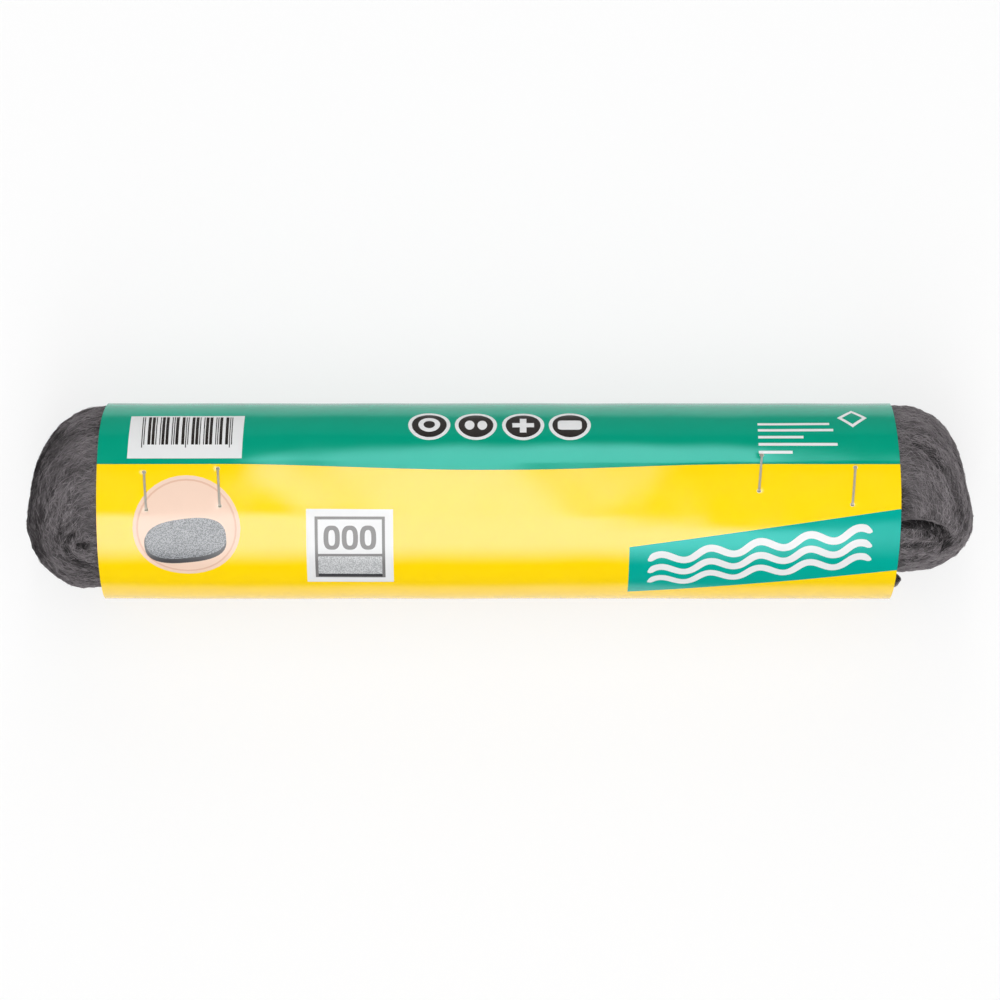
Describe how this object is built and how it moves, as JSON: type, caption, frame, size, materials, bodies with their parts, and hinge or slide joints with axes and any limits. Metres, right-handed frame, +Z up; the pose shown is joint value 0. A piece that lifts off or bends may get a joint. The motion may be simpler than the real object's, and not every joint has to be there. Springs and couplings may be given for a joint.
{
  "type": "steel wool roll",
  "caption": "Long roll of fine grey steel wool with rounded folded ends, held in a glossy printed paper sleeve that laps over itself and is stapled shut.",
  "frame": {"origin": "on the surface that the roll lies on, under the middle of its length and width", "axes": "+X along the roll, +Z up through the lapped and stapled side of the sleeve, +Y towards the green side of the sleeve"},
  "size_m": [0.3192, 0.066, 0.0648],
  "materials": {
    "steel_wool": "matt mass of very fine dark grey steel fibres",
    "sleeve_paper": "glossy coated paper, printed yellow and green outside, bare white inside",
    "staple_wire": "bright galvanised wire"
  },
  "bodies": {
    "root": {"steel_wool_hank": "steel_wool", "paper_sleeve": "sleeve_paper", "staple_left_outer": "staple_wire", "staple_left_inner": "staple_wire", "staple_right_inner": "staple_wire", "staple_right_outer": "staple_wire"}
  },
  "joints": []
}
